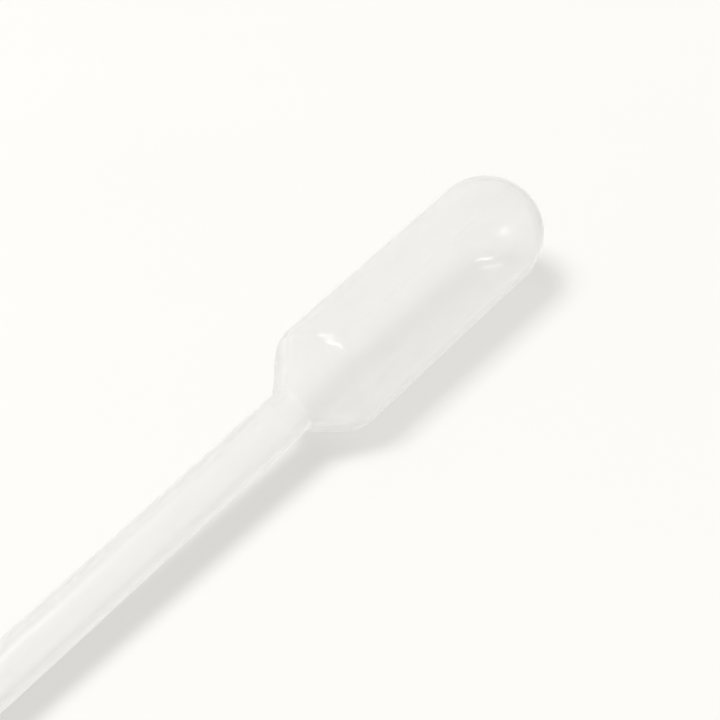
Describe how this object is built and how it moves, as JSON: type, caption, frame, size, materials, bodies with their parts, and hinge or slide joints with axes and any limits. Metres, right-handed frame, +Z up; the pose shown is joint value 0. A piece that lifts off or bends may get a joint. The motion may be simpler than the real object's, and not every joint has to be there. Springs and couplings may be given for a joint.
{
  "type": "plastic dropper pipette",
  "caption": "One-piece soft plastic transfer pipette: a domed squeeze bulb, a conical shoulder and a long plain tube that steps down to a slim open tip.",
  "frame": {"origin": "on the surface that the pipette lies on, under the middle of its box", "axes": "+X along the pipette towards the domed end of its bulb, +Z up; the pipette's own axis leans up from +X by 2.23 degrees, because the bulb is fatter than the tip"},
  "size_m": [0.155, 0.0124, 0.0135],
  "materials": {
    "milky_polyethylene": "natural unpigmented polyethylene, milky and see-through, smooth from the mould with a soft gloss"
  },
  "bodies": {
    "root": {"pipette": "milky_polyethylene"}
  },
  "joints": []
}
